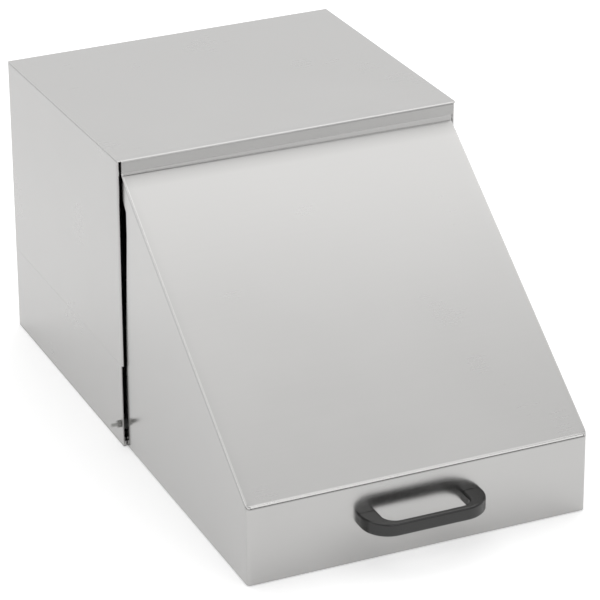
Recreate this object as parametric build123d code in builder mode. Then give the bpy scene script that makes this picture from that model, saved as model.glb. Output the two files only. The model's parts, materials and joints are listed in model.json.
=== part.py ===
# Book drop box: folded stainless housing, lift-up hood with a bow handle, rear emptying door.
# Millimetres. X is the width, +Y points to the rear, +Z is up. The origin is on the base,
# in the middle of the seam between the hood and the housing.
import math
import os

from build123d import *

# ---------------------------------------------------------------- driving dimensions
sheet = 1.5  # folded stainless sheet
half_width = 200  # outer face of the side panels
housing_depth = 349
front_height = 347
roof_fall = 11.5  # the cover is this much lower at the rear
hood_depth = 329
strip_height = 93  # upright front strip of the hood
hood_half = 195.75  # outer face of the hood's cheeks
hood_bottom = 1  # the hood hangs just clear of the ground
slope_top_y = 2  # the slope ends here, behind the cover's lip
slope_top_z = 327.5
upstand_top = 341
upstand_bend_r = 1.2
lip_drop = 14  # height of the cover's front lip

bend_r = 2  # outer radius of the smaller folds
rivet_r = 1.6
rivet_head_r = 3.2
hinge_low = 40  # foot of the door's piano hinge
knuckle_pitch = 28
knuckle_count = 9
hinge_rivet_x = -188

pivot_y = 18
pivot_z = 25
pivot_shoulder_r = 4
pivot_thread_r = 2.5
running_gap = 0.06  # radial play of a running fit
hood_open_angle = 60

# ---------------------------------------------------------------- derived dimensions
inner_half = half_width - sheet  # inner face of the side panels
flange_half = inner_half - sheet  # inner face of flanges and hems lying on them
cheek_inner = hood_half - sheet
rear_inner_y = housing_depth - sheet
roof_slope = roof_fall / housing_depth
slope_angle = math.atan2(slope_top_z - strip_height, slope_top_y + hood_depth)
slope_drop = sheet / math.cos(slope_angle)  # upright thickness of the sloping sheet
hinge_rivet_z = [hinge_low + knuckle_pitch * (2 * i + 0.5) for i in range(knuckle_count // 2 + 1)]


def roof_z(y):
    """Height of the cover's outer face."""
    return front_height - roof_slope * y


def slope_z(y):
    """Height of the hood's sloping outer face."""
    return strip_height + (y + hood_depth) * math.tan(slope_angle)


def save(part, name):
    """Label one sub-part and write its file."""
    part.label = name
    export_step(part, f"parts/{name}.step")


os.makedirs("parts", exist_ok=True)

# ================================================================ housing
# ---- base pan: a floor that narrows under the hood, with upturned edges
pan_front_y = -321
pan_front_half = 190
pan_step_y = 12  # the floor widens here, behind the hood's cheeks
pan_flange = 10
pan_flange_front_y = 12.5  # the side flanges start behind the panels' foot returns
pan_rest_height = 25  # the front edge carries the hood's bumpers
pan_rest_depth = 18
anchor_x = 150  # four holes for bolting the box down
anchor_front_y = 80
anchor_rear_y = 300
anchor_r = 3.5
chute_rivet_y = 48  # rivets that hold the chute's toe
chute_rivet_x = (-150, -50, 50, 150)

with BuildPart() as base_pan:
    with BuildSketch():  # floor with its anchor and rivet holes
        with BuildLine():
            Polyline(
                (-pan_front_half, pan_front_y),
                (pan_front_half, pan_front_y),
                (pan_front_half, pan_step_y),
                (inner_half, pan_step_y),
                (inner_half, rear_inner_y),
                (-inner_half, rear_inner_y),
                (-inner_half, pan_step_y),
                (-pan_front_half, pan_step_y),
                close=True,
            )
        make_face()
        with Locations((0, (anchor_front_y + anchor_rear_y) / 2)):
            with GridLocations(2 * anchor_x, anchor_rear_y - anchor_front_y, 2, 2):
                Circle(anchor_r, mode=Mode.SUBTRACT)
        with Locations([(x, chute_rivet_y) for x in chute_rivet_x]):
            Circle(rivet_r, mode=Mode.SUBTRACT)
    extrude(amount=sheet)
    with BuildSketch(Plane.YZ.offset(-pan_front_half)):  # front upturn and its return
        with BuildLine():
            FilletPolyline(
                (pan_front_y, 0),
                (pan_front_y, pan_rest_height),
                (pan_front_y + pan_rest_depth, pan_rest_height),
                radius=bend_r,
            )
            offset(amount=sheet, side=Side.RIGHT)
        make_face()
    extrude(amount=2 * pan_front_half)
    for side in (-1, 1):  # side flanges along the side panels
        with BuildSketch(Plane.YZ.offset(side * flange_half)):
            with BuildLine():
                Polyline(
                    (pan_flange_front_y, 0),
                    (rear_inner_y, 0),
                    (rear_inner_y, pan_flange),
                    (pan_flange_front_y, pan_flange),
                    close=True,
                )
            make_face()
        extrude(amount=side * sheet)
save(base_pan.part, "base_pan")

# ---- side panels: flat sheets with a closed hem on the upper front edge
hem_bottom = 100
hem_width = 13.5
hem_top_y = 4  # the hem's nose is this far behind the cover's front at the top
hem_lean = 4  # and this much further back at the ground
raw_edge_y = 10.2  # below the hem the plain edge stands upright
foot_height = 6.5  # a small return of the plain edge closes the end of the seam
foot_reach = 2.2
cover_gap = 0.4  # fine joint between the cover and the panels


def side_panel(side):
    """One side of the housing; side is -1 for the left and 1 for the right."""
    nose_x = side * inner_half
    top_gap = sheet + cover_gap
    hem_foot_y = hem_top_y + hem_lean * (1 - hem_bottom / front_height) + sheet
    lean_angle = math.atan2(hem_lean, front_height)
    hem_run = (roof_z(hem_width) - top_gap - hem_bottom) / math.cos(lean_angle)
    hem_top_z = roof_z(sheet) - top_gap
    with BuildPart() as panel:
        with BuildSketch(Plane.YZ.offset(nose_x)):
            with BuildLine():
                Polyline(
                    (raw_edge_y, 0),
                    (housing_depth, 0),
                    (housing_depth, roof_z(housing_depth) - top_gap),
                    (hem_foot_y - (hem_top_z - hem_bottom) * math.tan(lean_angle), hem_top_z),
                    (hem_foot_y, hem_bottom),
                    (raw_edge_y, hem_bottom),
                    close=True,
                )
            make_face()
        extrude(amount=side * sheet)
        with BuildSketch(Plane.XY.offset(hem_bottom)):  # hem: a round nose and a flat return
            with Locations((nose_x, hem_foot_y)):
                Circle(sheet)
            with Locations((nose_x - side * sheet / 2, hem_foot_y + (hem_width - sheet) / 2)):
                Rectangle(sheet, hem_width - sheet)
        extrude(amount=hem_run, dir=(0, -math.sin(lean_angle), math.cos(lean_angle)))
        with Locations((nose_x, raw_edge_y, 0)):  # foot return, beside the cheek's rear edge
            inward = Align.MIN if side < 0 else Align.MAX
            Box(foot_reach, sheet, foot_height, align=(inward, Align.MIN, Align.MIN))
        with Locations((nose_x, pivot_y, pivot_z)):
            Cylinder(pivot_thread_r + running_gap, 4 * sheet, rotation=(0, 90, 0), mode=Mode.SUBTRACT)
    return panel.part


save(side_panel(-1), "left_side_panel")
save(side_panel(1), "right_side_panel")

# ---- top cover: falls to the rear, folded down at the front into a lip
lip_half = 195.8
cover_flange = 14
cover_flange_front_y = 22
cover_flange_rear_y = 331
front_bend = 2.5
cover_side_y = 3  # the parts over the side panels start behind the bend

with BuildPart() as top_cover:
    with BuildSketch(Plane.YZ.offset(-lip_half)):  # lip and top as one bent strip
        with BuildLine():
            FilletPolyline(
                (0, front_height - lip_drop),
                (0, front_height),
                (housing_depth, roof_z(housing_depth)),
                radius=front_bend,
            )
            offset(amount=sheet, side=Side.RIGHT)
        make_face()
    extrude(amount=2 * lip_half)
    for side in (-1, 1):
        with BuildSketch(Plane.YZ.offset(side * lip_half)):  # the top reaches over the side panels
            with BuildLine():
                Polyline(
                    (cover_side_y, roof_z(cover_side_y)),
                    (housing_depth, roof_z(housing_depth)),
                    (housing_depth, roof_z(housing_depth) - sheet),
                    (cover_side_y, roof_z(cover_side_y) - sheet),
                    close=True,
                )
            make_face()
        extrude(amount=side * (half_width - lip_half))
        with BuildSketch(Plane.YZ.offset(side * flange_half)):  # flange inside the side panel
            with BuildLine():
                Polyline(
                    (cover_flange_front_y, roof_z(cover_flange_front_y) - sheet),
                    (cover_flange_rear_y, roof_z(cover_flange_rear_y) - sheet),
                    (cover_flange_rear_y, roof_z(cover_flange_rear_y) - sheet - cover_flange),
                    (cover_flange_front_y, roof_z(cover_flange_front_y) - sheet - cover_flange),
                    close=True,
                )
            make_face()
        extrude(amount=side * sheet)
save(top_cover.part, "top_cover")

# ---- rear panel: a frame around the emptying opening, with forward flanges
opening_half = 165
opening_low = 32
opening_high = 300
opening_corner_r = 4
rear_flange = 14.5
rear_flange_low = 14
rear_flange_high = 318

with BuildPart() as rear_panel:
    with BuildSketch(Plane.XZ.offset(-rear_inner_y)):
        with Locations((0, (roof_z(rear_inner_y) - sheet - cover_gap) / 2)):
            Rectangle(2 * inner_half, roof_z(rear_inner_y) - sheet - cover_gap)
        with Locations((0, (opening_low + opening_high) / 2)):
            RectangleRounded(
                2 * opening_half,
                opening_high - opening_low,
                opening_corner_r,
                mode=Mode.SUBTRACT,
            )
    extrude(amount=-sheet)
    for side in (-1, 1):
        with Locations((side * (flange_half + sheet / 2), rear_inner_y, rear_flange_low)):
            Box(
                sheet,
                rear_flange,
                rear_flange_high - rear_flange_low,
                align=(Align.CENTER, Align.MAX, Align.MIN),
            )
    with Locations([(hinge_rivet_x, housing_depth, z) for z in hinge_rivet_z]):
        Cylinder(rivet_r, 4 * sheet, rotation=(90, 0, 0), mode=Mode.SUBTRACT)
save(rear_panel.part, "rear_panel")

# ---- chute plate: slopes to the rear under the hood, with webs down to the floor
chute_front_y = -296
chute_front_z = 84
chute_toe_y = 34
chute_end_y = 58
chute_half = 190
chute_bend_r = 3
chute_web_end_y = 28  # the webs run out just before the toe
rivet_clear = 0.3  # the rivets end this far above the pan's underside
rivet_head_thick = 1

with BuildPart() as chute_plate:
    with BuildSketch(Plane.YZ.offset(-chute_half)):
        with BuildLine():
            FilletPolyline(
                (chute_front_y, sheet),
                (chute_front_y, chute_front_z),
                (chute_toe_y, 2 * sheet),
                (chute_end_y, 2 * sheet),
                radius=chute_bend_r,
            )
            offset(amount=sheet, side=Side.RIGHT)
        make_face()
    extrude(amount=2 * chute_half)
    for side in (-1, 1):
        with BuildSketch(Plane.YZ.offset(side * (chute_half - sheet))):  # side webs
            with BuildLine():
                Polyline(
                    (chute_front_y + sheet, sheet),
                    (chute_web_end_y, sheet),
                    (chute_web_end_y, 2 * sheet),
                    (chute_front_y + sheet, chute_front_z - 2 * sheet),
                    close=True,
                )
            make_face()
        extrude(amount=side * sheet)
    with Locations([(x, chute_rivet_y, sheet * 1.5) for x in chute_rivet_x]):
        Cylinder(rivet_r, 3 * sheet, mode=Mode.SUBTRACT)
save(chute_plate.part, "chute_plate")

with BuildPart() as chute_rivets:  # shanks end just above the pan's underside
    with Locations([(x, chute_rivet_y, 2 * sheet) for x in chute_rivet_x]):
        Cylinder(rivet_r, 2 * sheet - rivet_clear, align=(Align.CENTER, Align.CENTER, Align.MAX))
        Cylinder(rivet_head_r, rivet_head_thick, align=(Align.CENTER, Align.CENTER, Align.MIN))
save(chute_rivets.part, "chute_rivets")

# ---- pivot bolts: head inside, plain shoulder through the hood's lug, threaded end outside
lug_thick = 3
lug_r = 11
bolt_head_r = 6.5
bolt_head_thick = 4
head_play = 0.25  # between the head and the lug
bolt_end = 212  # the thread ends this far from the middle
bolt_chamfer = 1
nut_flats = 8
nut_thick = 4
lug_inner = cheek_inner - lug_thick


def pivot_bolt(side):
    """A shoulder bolt along X at the hood's pivot."""
    with BuildPart() as bolt:
        with BuildSketch(Plane.XZ.offset(-pivot_y)):
            with BuildLine():
                Polyline(
                    (lug_inner - head_play - bolt_head_thick, pivot_z),
                    (lug_inner - head_play - bolt_head_thick, pivot_z + bolt_head_r),
                    (lug_inner - head_play, pivot_z + bolt_head_r),
                    (lug_inner - head_play, pivot_z + pivot_shoulder_r),
                    (inner_half, pivot_z + pivot_shoulder_r),
                    (inner_half, pivot_z + pivot_thread_r),
                    (bolt_end - bolt_chamfer, pivot_z + pivot_thread_r),
                    (bolt_end, pivot_z + pivot_thread_r - bolt_chamfer),
                    (bolt_end, pivot_z),
                    close=True,
                )
            make_face()
        revolve(axis=Axis((0, pivot_y, pivot_z), (1, 0, 0)))
        if side < 0:
            mirror(about=Plane.YZ, mode=Mode.REPLACE)
    return bolt.part


save(pivot_bolt(-1), "left_pivot_bolt")
save(pivot_bolt(1), "right_pivot_bolt")

with BuildPart() as pivot_nuts:
    for side in (-1, 1):
        with BuildSketch(Plane.YZ.offset(side * half_width)):
            with Locations((pivot_y, pivot_z)):
                RegularPolygon(nut_flats / 2, 6, major_radius=False)
                Circle(pivot_thread_r + running_gap, mode=Mode.SUBTRACT)
        extrude(amount=side * nut_thick)
save(pivot_nuts.part, "pivot_nuts")

# ---- rest bumpers for the closed hood, on the pan's front return
bumper_x = (-120, 120)
bumper_y = -312
bumper_r = 5
bumper_height = 6
bumper_round = 1.2
contact_gap = 0.3

with BuildPart() as rest_bumpers:
    with BuildSketch(Plane.XY.offset(pan_rest_height)):
        with Locations([(x, bumper_y) for x in bumper_x]):
            Circle(bumper_r)
    extrude(amount=bumper_height)
    fillet(rest_bumpers.edges().group_by(Axis.Z)[-1], radius=bumper_round)
save(rest_bumpers.part, "rest_bumpers")

# ---- stops for the open hood: a bracket on each side panel with a rubber pad
open_angle = math.radians(hood_open_angle)
upstand_reach = slope_top_y + sheet - pivot_y  # back face of the upstand, from the pivot
upstand_mid = (slope_top_z + upstand_top) / 2 - pivot_z
stop_normal = (0, -math.cos(open_angle), math.sin(open_angle))
stop_y = pivot_y + upstand_reach * math.cos(open_angle) + upstand_mid * math.sin(open_angle)
stop_z = pivot_z - upstand_reach * math.sin(open_angle) + upstand_mid * math.cos(open_angle)
pad_height = 6
pad_r = 5
pad_inset = 10  # from the side panel's inner face
bracket_half = 10
bracket_leg = 18
stop_plane = Plane(origin=(0, stop_y, stop_z), x_dir=(1, 0, 0), z_dir=stop_normal)
pad_plane = stop_plane.offset(-contact_gap - pad_height)

with BuildPart() as stop_brackets:
    for side in (-1, 1):
        with BuildSketch(pad_plane):
            with Locations((side * (inner_half - bracket_leg / 2), 0)):
                Rectangle(bracket_leg, 2 * bracket_half)
        extrude(amount=-sheet)
        with BuildSketch(pad_plane):
            with Locations((side * (inner_half - sheet / 2), 0)):
                Rectangle(sheet, 2 * bracket_half)
        extrude(amount=-bracket_leg)
save(stop_brackets.part, "stop_brackets")

with BuildPart() as stop_pads:
    with BuildSketch(pad_plane):
        with Locations([(side * (inner_half - pad_inset), 0) for side in (-1, 1)]):
            Circle(pad_r)
    extrude(amount=pad_height)
save(stop_pads.part, "stop_pads")

# ================================================================ hood
# ---- folded shell: the front strip and both cheeks are one bent sheet
corner_r = 4
cheek_rear = (
    (slope_top_y, slope_top_z),
    (slope_top_y, 300.5),
    (-8, 289),
    (-8, 262),
    (7.2, 75),
    (9.6, 16),
    (9.6, hood_bottom),
)
cheek_reach_y = 12  # the bent wall is made this long, then trimmed
strip_top = strip_height - slope_drop
strip_hem = 12  # closed hem along the foot of the strip
handle_z = 49.5
handle_pitch = 120
screw_r = 2.5
screw_hole_play = 0.25

with BuildPart() as hood_shell:
    with BuildSketch(Plane.XY.offset(hood_bottom)):  # U-shaped wall, full height
        with BuildLine():
            FilletPolyline(
                (-hood_half, cheek_reach_y),
                (-hood_half, -hood_depth),
                (hood_half, -hood_depth),
                (hood_half, cheek_reach_y),
                radius=corner_r,
            )
            offset(amount=sheet, side=Side.LEFT)
        make_face()
    extrude(amount=upstand_top)
    with BuildSketch(Plane.YZ):  # trimmed to the cheek's outline
        with BuildLine():
            Polyline(
                (-hood_depth - 1, hood_bottom),
                (-hood_depth - 1, strip_top - math.tan(slope_angle)),
                (slope_top_y, slope_top_z - slope_drop),
                *cheek_rear[1:],
                close=True,
            )
        make_face()
    extrude(amount=2 * half_width, both=True, mode=Mode.INTERSECT)
    with Locations((0, -hood_depth + sheet, hood_bottom)):
        Box(
            2 * (hood_half - corner_r),
            sheet,
            strip_hem,
            align=(Align.CENTER, Align.MIN, Align.MIN),
        )
    with Locations([(side * handle_pitch / 2, -hood_depth, handle_z) for side in (-1, 1)]):
        Cylinder(screw_r + screw_hole_play, 4 * sheet, rotation=(90, 0, 0), mode=Mode.SUBTRACT)
save(hood_shell.part, "hood_shell")

# ---- sloping top sheet with an upstand that tucks behind the cover's lip
with BuildPart() as hood_slope:
    with BuildSketch(Plane.YZ.offset(-hood_half)):
        with BuildLine():
            FilletPolyline(
                (-hood_depth, strip_height),
                (slope_top_y, slope_top_z),
                (slope_top_y, upstand_top),
                radius=upstand_bend_r,
            )
            offset(amount=sheet, side=Side.RIGHT)
        make_face()
    extrude(amount=2 * hood_half)
save(hood_slope.part, "hood_slope")

# ---- stop angle across the inside of the strip, resting on the bumpers
stop_angle_z = pan_rest_height + bumper_height + contact_gap
stop_angle_leg = 16
stop_angle_reach = 19
stop_angle_half = 150

with BuildPart() as hood_stop_angle:
    with BuildSketch(Plane.YZ.offset(-stop_angle_half)):
        with BuildLine():
            FilletPolyline(
                (-hood_depth + sheet, stop_angle_z + sheet - stop_angle_leg),
                (-hood_depth + sheet, stop_angle_z + sheet),
                (-hood_depth + sheet + stop_angle_reach, stop_angle_z + sheet),
                radius=bend_r,
            )
            offset(amount=sheet, side=Side.RIGHT)
        make_face()
    extrude(amount=2 * stop_angle_half)
save(hood_stop_angle.part, "hood_stop_angle")

# ---- pivot lugs welded inside the cheeks, and their flanged bushes
bush_r = 5
bush_flange_r = 7
lug_front_y = -45


def pivot_lug(side):
    """Plate inside a cheek that reaches back to the pivot."""
    with BuildPart() as lug:
        with BuildSketch(Plane.YZ.offset(side * cheek_inner)):
            with Locations((pivot_y, pivot_z)):
                Circle(lug_r)
            with Locations(((lug_front_y + pivot_y) / 2, pivot_z)):
                Rectangle(pivot_y - lug_front_y, 2 * lug_r)
            with Locations((pivot_y, pivot_z)):
                Circle(bush_r, mode=Mode.SUBTRACT)
        extrude(amount=-side * lug_thick)
    return lug.part


save(pivot_lug(-1), "left_pivot_lug")
save(pivot_lug(1), "right_pivot_lug")

with BuildPart() as pivot_bushes:
    for side in (-1, 1):
        with BuildSketch(Plane.YZ.offset(side * lug_inner)):
            with Locations((pivot_y, pivot_z)):
                Circle(bush_r)
                Circle(pivot_shoulder_r + running_gap, mode=Mode.SUBTRACT)
        extrude(amount=side * lug_thick)
        with BuildSketch(Plane.YZ.offset(side * cheek_inner)):
            with Locations((pivot_y, pivot_z)):
                Circle(bush_flange_r)
                Circle(pivot_shoulder_r + running_gap, mode=Mode.SUBTRACT)
        extrude(amount=side * (inner_half - contact_gap - cheek_inner))
save(pivot_bushes.part, "pivot_bushes")

# ---- bow handle with two feet, screwed on from inside
handle_foot = 21
handle_height = 15.2
handle_reach = 36
handle_bar = 9
handle_corner_r = 31
handle_inner_r = 14
handle_edge_r = 2
insert_depth = 12
handle_half = (handle_pitch + handle_foot) / 2
handle_inner = (handle_pitch - handle_foot) / 2

with BuildPart() as handle:
    with BuildSketch(Plane.XY.offset(handle_z - handle_height / 2)):
        with BuildLine():
            FilletPolyline(
                (-handle_half, -hood_depth),
                (-handle_half, -hood_depth - handle_reach),
                (handle_half, -hood_depth - handle_reach),
                (handle_half, -hood_depth),
                radius=handle_corner_r,
            )
            Line((handle_half, -hood_depth), (handle_inner, -hood_depth))
            FilletPolyline(
                (handle_inner, -hood_depth),
                (handle_inner, -hood_depth - handle_reach + handle_bar),
                (-handle_inner, -hood_depth - handle_reach + handle_bar),
                (-handle_inner, -hood_depth),
                radius=handle_inner_r,
            )
            Line((-handle_inner, -hood_depth), (-handle_half, -hood_depth))
        make_face()
    extrude(amount=handle_height)
    rims = handle.edges().group_by(Axis.Z)[0] + handle.edges().group_by(Axis.Z)[-1]
    fillet(rims.filter_by(lambda edge: edge.center().Y < -hood_depth - sheet), radius=handle_edge_r)
    with Locations([(side * handle_pitch / 2, -hood_depth, handle_z) for side in (-1, 1)]):
        Cylinder(
            screw_r,
            insert_depth,
            rotation=(90, 0, 0),
            align=(Align.CENTER, Align.CENTER, Align.MIN),
            mode=Mode.SUBTRACT,
        )
save(handle.part, "handle")

washer_r = 5.5
washer_thick = 1
washer_play = 0.2
strip_inner_y = -hood_depth + sheet
with BuildPart() as handle_washers:
    with BuildSketch(Plane.XZ.offset(-strip_inner_y)):
        with Locations([(side * handle_pitch / 2, handle_z) for side in (-1, 1)]):
            Circle(washer_r)
            Circle(screw_r + washer_play, mode=Mode.SUBTRACT)
    extrude(amount=-washer_thick)
save(handle_washers.part, "handle_washers")

screw_head_r = 4.5
screw_head_thick = 3
screw_head_round = 1.2
screw_play = 0.02  # the shank is this much under the hole's radius
with BuildPart() as handle_screws:
    head_plane = Plane.XZ.offset(-strip_inner_y - washer_thick)
    with BuildSketch(head_plane):
        with Locations([(side * handle_pitch / 2, handle_z) for side in (-1, 1)]):
            Circle(screw_head_r)
    extrude(amount=-screw_head_thick)
    fillet(handle_screws.edges().group_by(Axis.Y)[-1], radius=screw_head_round)
    with BuildSketch(head_plane):
        with Locations([(side * handle_pitch / 2, handle_z) for side in (-1, 1)]):
            Circle(screw_r - screw_play)
    extrude(amount=washer_thick + sheet + insert_depth - 1)
save(handle_screws.part, "handle_screws")

# ================================================================ emptying door
# ---- door pan over the opening, with returns towards the rear panel
door_half = 172
door_low = 25
door_high = 307
door_outer_y = 361
door_gap = 0.8  # between the returns and the rear panel
door_rim_r = 1.2
lock_x = 150
lock_z = (door_low + door_high) / 2
lock_body_r = 8

with BuildPart() as door_panel:
    with BuildSketch(Plane.XZ.offset(-housing_depth - door_gap)):
        with Locations((0, (door_low + door_high) / 2)):
            Rectangle(2 * door_half, door_high - door_low)
    extrude(amount=-(door_outer_y - housing_depth - door_gap))
    fillet(door_panel.edges().group_by(Axis.Y)[-1], radius=door_rim_r)
    offset(amount=-sheet, openings=door_panel.faces().sort_by(Axis.Y)[0])
    with Locations((lock_x, door_outer_y, lock_z)):
        Cylinder(lock_body_r, 4 * sheet, rotation=(90, 0, 0), mode=Mode.SUBTRACT)
save(door_panel.part, "door_panel")

# ---- piano hinge: knuckles alternate between the fixed leaf and the door leaf
hinge_x = -176.5
hinge_y = 352.4
knuckle_r = 3
hinge_pin_r = 1.5
leaf_thick = 1.2
leaf_relief = 0.4  # the knuckle's tongues stand this far off the rear panel
knuckle_gap = 0.4
leaf_edge_x = -195
leaf_notch_x = -180.5
door_leaf_y = 360.4
hinge_high = hinge_low + knuckle_count * knuckle_pitch

with BuildPart() as hinge_fixed_leaf:
    with BuildSketch(Plane.XY.offset(hinge_low)):
        with Locations(((leaf_edge_x + leaf_notch_x) / 2, housing_depth + leaf_thick / 2)):
            Rectangle(leaf_notch_x - leaf_edge_x, leaf_thick)
    extrude(amount=hinge_high - hinge_low)
    for i in range(0, knuckle_count, 2):
        with BuildSketch(Plane.XY.offset(hinge_low + i * knuckle_pitch + knuckle_gap / 2)):
            with Locations((hinge_x, hinge_y)):
                Circle(knuckle_r)
            with Locations(((leaf_notch_x + hinge_x) / 2, housing_depth + (leaf_thick + leaf_relief) / 2)):
                Rectangle(hinge_x - leaf_notch_x, leaf_thick - leaf_relief)
            with Locations((hinge_x, hinge_y)):
                Circle(hinge_pin_r + running_gap, mode=Mode.SUBTRACT)
        extrude(amount=knuckle_pitch - knuckle_gap)
    with Locations([(hinge_rivet_x, housing_depth, z) for z in hinge_rivet_z]):
        Cylinder(rivet_r, 4 * sheet, rotation=(90, 0, 0), mode=Mode.SUBTRACT)
save(hinge_fixed_leaf.part, "hinge_fixed_leaf")

with BuildPart() as hinge_door_leaf:
    leaf_x = -door_half - leaf_thick / 2
    with BuildSketch(Plane.XY.offset(hinge_low)):
        with Locations((leaf_x, (hinge_y + knuckle_r - leaf_thick + door_leaf_y) / 2)):
            Rectangle(leaf_thick, door_leaf_y - hinge_y - knuckle_r + leaf_thick)
    extrude(amount=hinge_high - hinge_low)
    for i in range(1, knuckle_count, 2):
        with BuildSketch(Plane.XY.offset(hinge_low + i * knuckle_pitch + knuckle_gap / 2)):
            with Locations((hinge_x, hinge_y)):
                Circle(knuckle_r)
            with Locations(((hinge_x + leaf_x) / 2, hinge_y + knuckle_r - leaf_thick / 2)):
                Rectangle(leaf_x - hinge_x, leaf_thick)
            with Locations((hinge_x, hinge_y)):
                Circle(hinge_pin_r + running_gap, mode=Mode.SUBTRACT)
        extrude(amount=knuckle_pitch - knuckle_gap)
save(hinge_door_leaf.part, "hinge_door_leaf")

pin_stand = 1  # the pin stands out of the knuckles at both ends
pin_chamfer = 0.4
with BuildPart() as hinge_pin:
    with Locations((hinge_x, hinge_y, (hinge_low + hinge_high) / 2)):
        Cylinder(hinge_pin_r, hinge_high - hinge_low + 2 * pin_stand)
    chamfer(hinge_pin.edges().group_by(Axis.Z)[0] + hinge_pin.edges().group_by(Axis.Z)[-1], pin_chamfer)
save(hinge_pin.part, "hinge_pin")

hinge_rivet_head = 1.3
hinge_rivet_round = 0.9
with BuildPart() as hinge_rivets:
    with BuildSketch(Plane.XZ.offset(-rear_inner_y)):
        with Locations([(hinge_rivet_x, z) for z in hinge_rivet_z]):
            Circle(rivet_r)
    extrude(amount=-(sheet + leaf_thick))
    with BuildSketch(Plane.XZ.offset(-housing_depth - leaf_thick)):
        with Locations([(hinge_rivet_x, z) for z in hinge_rivet_z]):
            Circle(rivet_head_r)
    extrude(amount=-hinge_rivet_head)
    fillet(hinge_rivets.edges().group_by(Axis.Y)[-1], radius=hinge_rivet_round)
save(hinge_rivets.part, "hinge_rivets")

# ---- cam lock: barrel and nut on the door, plug and cam turn a quarter turn
lock_flange_r = 11
lock_flange_thick = 2
plug_r = 5.5
barrel_end_y = 346
cam_thick = 1.8
cam_width = 14
cam_reach = 34
cam_corner_r = 3
cam_gap = 0.2  # the plug stands this far out of the barrel's end
cam_screw_head = 2.5
cam_screw_round = 1
nut_back_y = 357
lock_nut_flats = 20
lock_rim_r = 0.8
plug_sink = 0.4  # the plug's face lies this far inside the flange
key_slot = 6
key_slot_width = 1.4
key_slot_depth = 8

with BuildPart() as lock_barrel:
    with BuildSketch(Plane.XZ.offset(-barrel_end_y)):
        with Locations((lock_x, lock_z)):
            Circle(lock_body_r)
            Circle(plug_r + running_gap, mode=Mode.SUBTRACT)
    extrude(amount=-(door_outer_y - barrel_end_y))
    with BuildSketch(Plane.XZ.offset(-door_outer_y)):
        with Locations((lock_x, lock_z)):
            Circle(lock_flange_r)
            Circle(plug_r + running_gap, mode=Mode.SUBTRACT)
    extrude(amount=-lock_flange_thick)
    rim = lock_barrel.edges().group_by(Axis.Y)[-1].sort_by(SortBy.RADIUS)[-1]
    fillet(rim, radius=lock_rim_r)
save(lock_barrel.part, "lock_barrel")

with BuildPart() as lock_nut:
    with BuildSketch(Plane.XZ.offset(-nut_back_y)):
        with Locations((lock_x, lock_z)):
            RegularPolygon(lock_nut_flats / 2, 6, major_radius=False)
            Circle(lock_body_r, mode=Mode.SUBTRACT)
    extrude(amount=-(door_outer_y - sheet - nut_back_y))
save(lock_nut.part, "lock_nut")

plug_face_y = door_outer_y + lock_flange_thick - plug_sink
with BuildPart() as lock_plug:
    with BuildSketch(Plane.XZ.offset(-barrel_end_y + cam_gap)):
        with Locations((lock_x, lock_z)):
            Circle(plug_r)
    extrude(amount=-(plug_face_y - barrel_end_y + cam_gap))
    with BuildSketch(Plane.XZ.offset(-plug_face_y)):
        with Locations((lock_x, lock_z)):
            Rectangle(key_slot_width, key_slot)
    extrude(amount=key_slot_depth, mode=Mode.SUBTRACT)
save(lock_plug.part, "lock_plug")

cam_front_y = barrel_end_y - cam_gap - cam_thick
with BuildPart() as lock_cam:
    with BuildSketch(Plane.XZ.offset(-cam_front_y)):
        with Locations((lock_x, lock_z)):
            Circle(cam_width / 2)
        with Locations((lock_x, lock_z - cam_reach / 2)):
            Rectangle(cam_width, cam_reach)
        with Locations((lock_x, lock_z)):
            Circle(screw_r, mode=Mode.SUBTRACT)
    extrude(amount=-cam_thick)
    fillet(lock_cam.edges().filter_by(Axis.Y).group_by(Axis.Z)[0], radius=cam_corner_r)
save(lock_cam.part, "lock_cam")

with BuildPart() as cam_screw:
    with BuildSketch(Plane.XZ.offset(-cam_front_y)):
        with Locations((lock_x, lock_z)):
            Circle(screw_head_r)
    extrude(amount=cam_screw_head)
    fillet(cam_screw.edges().group_by(Axis.Y)[0], radius=cam_screw_round)
    with BuildSketch(Plane.XZ.offset(-cam_front_y)):
        with Locations((lock_x, lock_z)):
            Circle(screw_r - screw_play)
    extrude(amount=-cam_thick)
save(cam_screw.part, "cam_screw")
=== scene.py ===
import json
import math

import bmesh
import bpy
import numpy as np
from mathutils import Matrix, Vector


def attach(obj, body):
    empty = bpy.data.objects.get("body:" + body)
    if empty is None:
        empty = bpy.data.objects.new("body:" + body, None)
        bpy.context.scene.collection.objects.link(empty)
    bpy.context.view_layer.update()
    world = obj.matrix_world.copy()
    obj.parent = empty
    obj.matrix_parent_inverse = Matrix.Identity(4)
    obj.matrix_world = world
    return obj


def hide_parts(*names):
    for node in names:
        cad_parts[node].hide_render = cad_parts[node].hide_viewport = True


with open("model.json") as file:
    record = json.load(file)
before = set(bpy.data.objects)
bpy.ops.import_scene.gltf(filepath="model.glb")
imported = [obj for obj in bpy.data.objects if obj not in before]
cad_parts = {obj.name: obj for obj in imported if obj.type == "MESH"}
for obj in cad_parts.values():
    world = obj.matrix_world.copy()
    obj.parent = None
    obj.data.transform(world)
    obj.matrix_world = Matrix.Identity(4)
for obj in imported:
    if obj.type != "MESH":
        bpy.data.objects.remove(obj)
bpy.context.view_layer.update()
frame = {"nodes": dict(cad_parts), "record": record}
mm = 0.001
scene = bpy.context.scene

# sizes in mm that the hood's steel and the hood's surfaces share
hoodSize = {"half": 195.75, "front": -329, "stripTop": 93, "bottom": 1, "slopeEnd": (2, 327.5),
            "upstand": 341, "corner": 4, "twist": 0.0113}
hoodRun = hoodSize["slopeEnd"][0] - hoodSize["front"]
hoodClimb = hoodSize["slopeEnd"][1] - hoodSize["stripTop"]
slopeAngle = math.atan2(hoodClimb, hoodRun)


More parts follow.
